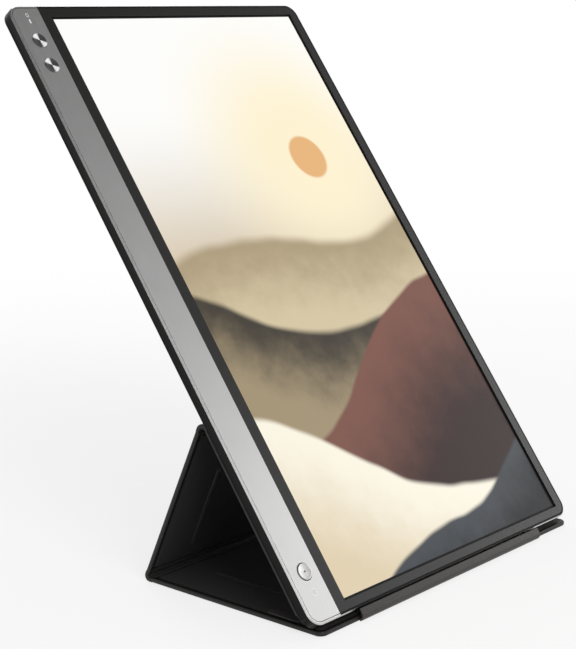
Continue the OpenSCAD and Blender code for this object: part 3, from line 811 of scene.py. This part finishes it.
def make_display():
    """Glass with its black edge and the lit picture."""
    lap = 1.4 * MM
    margin = BLACK_EDGE + lap
    obj = block(
        "display_glass_sheet",
        (PICTURE_X - margin, BEZEL_BOTTOM - margin, -FRONT_T - MM),
        (PICTURE_X + PICTURE_W + margin, BEZEL_BOTTOM + PICTURE_H + margin, -FRONT_T),
    )
    pick(obj, "faces", lambda at, along: along.z > 0.9)
    bpy.ops.mesh.inset(thickness=margin, depth=0)
    bpy.ops.object.mode_set(mode="OBJECT")
    obj.data.materials.clear()
    obj.data.materials.append(DARK_GAP)
    obj.data.materials.append(PICTURE)
    for face in obj.data.polygons:
        inner = face.normal.z > 0.9 and face.area > 0.9 * PICTURE_W * PICTURE_H
        face.material_index = 1 if inner else 0
    set_place(obj, on_screen, "monitor", None, ["display_panel"])


PICTURE = wallpaper()
make_side_frame()
make_rear_cover()
make_bezel()
make_strip()
make_buttons()
make_lens_and_marks()
make_display()

# The cover

EDGE_W = 2.2 * MM
FOLD_FILL = 1.9 * MM
RIB_SUNK = 0.1 * MM
HEM = 0.95 * MM
STIFF_T = 1.1 * MM


def cover_panel(name, node, body, place, length, free_low, free_high, lines=(), bulges=()):
    """A stiff panel: leather with a rolled hem, and the lining inside it."""
    half = COVER_W / 2
    skin = block(name + "_leather", (-half, 0, 0), (half, length, COVER_T))

    def at_free_end(at):
        return (free_low and at.y < EDGE_W) or (free_high and at.y > length - EDGE_W)

    bevel(skin, lambda at, along: upright(at, along) and at_free_end(at), COVER_CORNER, 10)

    def hem_edge(at, along):
        level = abs(along.z) < 0.1
        at_fold = (not free_low and at.y < 1e-6) or (not free_high and at.y > length - 1e-6)
        return level and not at_fold

    bevel(skin, hem_edge, HEM, 5)
    inset_down(skin, lambda at, along: along.z > 0.99 and at.z > COVER_T * 0.99, EDGE_W - HEM, COVER_T - SKIN_T)
    shade(skin, 40)
    skin.data.materials.clear()
    for mat in (LEATHER, LINING):
        skin.data.materials.append(mat)
    for face in skin.data.polygons:
        at = face.center
        by_fold = (not free_low and at.y < EDGE_W) or (not free_high and at.y > length - EDGE_W)
        face.material_index = 1 if by_fold and at.z > COVER_T / 2 and abs(at.x) < half - EDGE_W else 0
    set_place(skin, place, body, None, [node + "_skin"])

    gap = 0.08 * MM
    inner = EDGE_W + gap
    cloth = block(
        name + "_lining_cloth",
        (inner - half, inner, SKIN_T + STIFF_T),
        (half - inner, length - inner, COVER_T - 0.12 * MM),
    )
    bevel(cloth, upright, 1.7 * MM, 5)
    top = COVER_T - 0.12 * MM
    soften(cloth, 0.20 * MM, 4, 25)
    set_place(cloth, place, body, LINING, [node + "_lining"])

    # Raised pressed ribs, in the smoother lining with its painted sheen
    rib_r, rib_rise = 1.6 * MM, 0.5 * MM
    for number, (x, low_y, high_y) in enumerate(lines):
        level = top + rib_rise - rib_r
        rib = capsule(f"{name}_pressed_rib_{number}", rib_r, (x, low_y, level), (x, high_y, level))
        only(rib)
        bpy.ops.object.mode_set(mode="EDIT")
        bpy.ops.mesh.select_all(action="SELECT")
        bpy.ops.mesh.bisect(plane_co=(0, 0, top - RIB_SUNK), plane_no=(0, 0, 1), use_fill=True, clear_inner=True)
        bpy.ops.mesh.select_all(action="SELECT")
        bpy.ops.mesh.normals_make_consistent(inside=False)
        bpy.ops.object.mode_set(mode="OBJECT")
        shade(rib, 60)
        set_place(rib, place, body, PRESSED_LINING_PAINTED_SHEEN)

    # Magnet bulges, in the same smoother lining with its painted sheen
    for number, (x, y) in enumerate(bulges):
        pad = slab(
            f"{name}_magnet_bulge_{number}",
            (x - 3 * MM, y - 10 * MM, top - 0.1 * MM),
            (x + 3 * MM, y + 10 * MM, top + 0.40 * MM),
            2.95 * MM,
            10,
        )
        bevel(pad, lambda at, along: at.z > top + 0.38 * MM and abs(along.z) < 0.1, 0.42 * MM, 5)
        shade(pad, 40)
        set_place(pad, place, body, PRESSED_LINING_PAINTED_SHEEN)


def cover_fold(name, node, axis, radius, start_turn, end_turn):
    """A living hinge of leather: a lap, an arc about the fold's axis and another lap."""
    half = COVER_W / 2
    obj = block(name, (-half, -FOLD_LAP, 0), (half, 0, FOLD_FILL))
    bevel(obj, lambda at, along: abs(along.y) > 0.9, 0.5 * MM, 4)
    pick(obj, "faces", lambda at, along: along.y > 0.9)
    angle = end_turn - start_turn
    bpy.ops.mesh.spin(steps=28, angle=-angle, center=(0, 0, radius), axis=(1, 0, 0))
    direction = Vector((0, math.cos(angle), math.sin(angle))) * FOLD_LAP
    bpy.ops.mesh.extrude_region_move(TRANSFORM_OT_translate={"value": direction})
    bpy.ops.mesh.select_all(action="SELECT")
    bpy.ops.mesh.remove_doubles(threshold=0.000001)
    bpy.ops.mesh.normals_make_consistent(inside=False)
    bpy.ops.object.mode_set(mode="OBJECT")
    shade(obj, 40)
    obj.data.materials.clear()
    for mat in (FOLD_LEATHER, LINING):
        obj.data.materials.append(mat)
    for face in obj.data.polygons:
        away = math.hypot(face.center.y, face.center.z - radius)
        face.material_index = 1 if away < radius - 0.75 * FOLD_FILL and abs(face.normal.x) < 0.5 else 0
    set_place(obj, panel_place(axis, start_turn, radius), None, None, [node])

    def rim(turn):
        return (0, axis.y + radius * math.sin(turn), axis.z - radius * math.cos(turn))

    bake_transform(obj)


def make_lip():
    """The lip and its fold, one piece of leather over a stiff core."""
    front = on_screen @ Vector((0, 0, 0))
    foot = Vector((front.y, front.z))
    centre = Vector((top_axis.y, top_axis.z))
    inner = foot + (foot - centre).normalized() * 0.35 * MM
    y, r = lip_axis.y, LIP_FOLD_R
    outer_arc = [(y - r * math.sin(a), r - r * math.cos(a)) for a in (i * math.pi / 24 for i in range(13))]
    inner_r = r - FOLD_T
    inner_arc = [(y - inner_r * math.sin(a), r - inner_r * math.cos(a)) for a in (i * math.pi / 24 for i in range(12, -1, -1))]
    section = outer_arc + [
        (y - r, 3.2 * MM),
        (inner.x - 0.6 * MM, inner.y + 0.1 * MM),
        (inner.x, inner.y),
        (y - inner_r, COVER_T + 0.3 * MM),
    ] + inner_arc
    low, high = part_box("lip_skin")
    obj = bar("lip_leather", section, low.x, high.x)

    def crest(at, along):
        return abs(along.x) > 0.9 and at.z > 3.0 * MM

    bevel(obj, crest, 0.12 * MM, 4)
    bevel(obj, lambda at, along: abs(along.x) < 0.1 and (at.x < low.x + 1e-6 or at.x > high.x - 1e-6), 0.18 * MM, 3)
    shade(obj, 30)
    # The lip's leather colour is painted lighter than the cover's, as painted light
    set_place(obj, Matrix.Identity(4), None, LIP_LEATHER_PAINTED_LIGHTER, ["lip_skin", "lip_fold"])
    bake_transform(obj)


def line_set(low_y):
    """The pressed lines near both sides, from one height of a panel."""
    x = COVER_W / 2 - 25 * MM
    return [(side * x, low_y, low_y + 43 * MM) for side in (-1, 1)]


base_l = back_axis.y - FOLD_LAP - cover_low.y
back_l = math.sqrt(span.length**2 - (TOP_FOLD_R - BACK_FOLD_R) ** 2) - 2 * FOLD_LAP
rest_low, rest_high = turned_box("rest_skin", SLOPE)
rest_l = rest_high.y - rest_low.y
magnet_x = COVER_W / 2 - 6 * MM
step_on = Matrix.Translation((0, FOLD_LAP, 0))
cover_panel(
    "base", "base", "base", on_base, base_l, True, False,
    line_set(base_l - 63 * MM), [(-magnet_x, 25 * MM), (magnet_x, 25 * MM)],
)
cover_panel("back", "back", "back", on_back @ step_on, back_l, False, False, line_set(11 * MM))
cover_panel("rest", "rest", "rest", on_rest @ step_on, rest_l, False, True)
cover_fold("back_fold_leather", "back_fold", back_axis, BACK_FOLD_R, 0, BACK_TURN)
cover_fold("top_fold_leather", "top_fold", top_axis, TOP_FOLD_R, BACK_TURN, REST_TURN)
make_lip()

# Inner pieces keep the shapes of the part, with their own finishes
finishes = {
    "light_guide": ACRYLIC, "reflector_plate": STEEL, "light_bar": BOARD, "upper_board": BOARD,
    "main_board": BOARD, "power_board": BOARD, "shield_can": STEEL, "key_switches": SWITCH,
    "panel_ribbon": FILM, "type_c_socket": SOCKET_STEEL, "board_screws": STEEL,
    "holding_plates": STEEL, "base_board": CARD, "base_magnets": STEEL, "back_board": CARD,
    "rest_board": CARD, "rest_magnets": STEEL, "lip_core": CARD,
}
for node, mat in finishes.items():
    nodes[node].data.materials.clear()
    nodes[node].data.materials.append(mat)

# Floor, light and camera

deselect()
bpy.ops.mesh.primitive_plane_add(size=6, location=(0, 0, -0.0002))
floor = bpy.context.object
floor.name = "floor"
floor_mat, tree, shader = new_material("pale floor")
shader.inputs["Base Color"].default_value = (0.90, 0.90, 0.90, 1)
shader.inputs["Roughness"].default_value = 0.9
shader.inputs["Specular IOR Level"].default_value = 0.1


def looked_at(tree):
    """1 for rays from the camera and for those that metal and glass send on."""
    path = tree.nodes.new("ShaderNodeLightPath")
    seen = math_node(tree, "MAXIMUM", path.outputs["Is Camera Ray"], path.outputs["Is Glossy Ray"])
    return math_node(tree, "MAXIMUM", seen, path.outputs["Is Transmission Ray"])


# The floor fades into the white backdrop away from the object, and keeps its shadow near it
spot = tree.nodes.new("ShaderNodeVectorMath")
spot.operation = "LENGTH"
tree.links.new(mapped(tree), spot.inputs[0])
fade = spread(tree, spot.outputs["Value"], 0.25, 1.0, 0.74, 1.0, True)
bright = tree.nodes.new("ShaderNodeEmission")
mix = tree.nodes.new("ShaderNodeMixShader")
tree.links.new(math_node(tree, "MULTIPLY", looked_at(tree), fade), mix.inputs[0])
tree.links.new(shader.outputs[0], mix.inputs[1])
tree.links.new(bright.outputs[0], mix.inputs[2])
tree.links.new(mix.outputs[0], tree.nodes["Material Output"].inputs["Surface"])
floor.data.materials.append(floor_mat)

# A studio with white walls and a darker ceiling
world = bpy.data.worlds.new("studio")
bpy.context.scene.world = world
world.use_nodes = True
tree = world.node_tree
sky = tree.nodes["Background"]
sky.inputs["Color"].default_value = (1, 1, 1, 1)
sky.inputs["Strength"].default_value = 0.5
ray = tree.nodes.new("ShaderNodeSeparateXYZ")
tree.links.new(tree.nodes.new("ShaderNodeTexCoord").outputs["Generated"], ray.inputs[0])
backdrop = tree.nodes.new("ShaderNodeBackground")
tree.links.new(spread(tree, ray.outputs["Z"], 0.42, 0.72, 1.0, 0.13, True), backdrop.inputs["Color"])
backdrop.inputs["Strength"].default_value = 1.0
mix = tree.nodes.new("ShaderNodeMixShader")
tree.links.new(looked_at(tree), mix.inputs[0])
tree.links.new(sky.outputs[0], mix.inputs[1])
tree.links.new(backdrop.outputs[0], mix.inputs[2])
tree.links.new(mix.outputs[0], tree.nodes["World Output"].inputs["Surface"])


def softbox(name, place, target, size, power):
    """A large soft lamp that points at a spot."""
    lamp = bpy.data.lights.new(name, "AREA")
    lamp.shape = "RECTANGLE"
    lamp.size, lamp.size_y = size
    lamp.energy = power
    obj = bpy.data.objects.new(name, lamp)
    bpy.context.scene.collection.objects.link(obj)
    obj.location = place
    obj.rotation_euler = (Vector(target) - Vector(place)).to_track_quat("-Z", "Y").to_euler()


softbox("key softbox", (-0.7, -1.5, 1.3), (0, 0, 0.12), (1.0, 1.0), 20)
softbox("back softbox", (0.8, 1.4, 1.3), (0, 0, 0.12), (1.0, 1.0), 8)
softbox("side softbox", (1.5, -0.6, 0.55), (0, 0, 0.12), (0.6, 0.6), 3)

camera = bpy.data.cameras.new("camera")
camera.lens = 88.061
camera.sensor_width = 36
view = bpy.data.objects.new("camera", camera)
bpy.context.scene.collection.objects.link(view)
right = Vector((0.653254, -0.757135, -0.002414))
up = Vector((0.151015, 0.127170, 0.980317))
back = Vector((-0.741926, -0.640761, 0.197413))
view.matrix_world = Matrix.Translation((-0.59586, -0.46455, 0.26780)) @ Matrix((right, up, back)).transposed().to_4x4()
bpy.context.scene.camera = view
bpy.context.scene.view_settings.view_transform = "Standard"
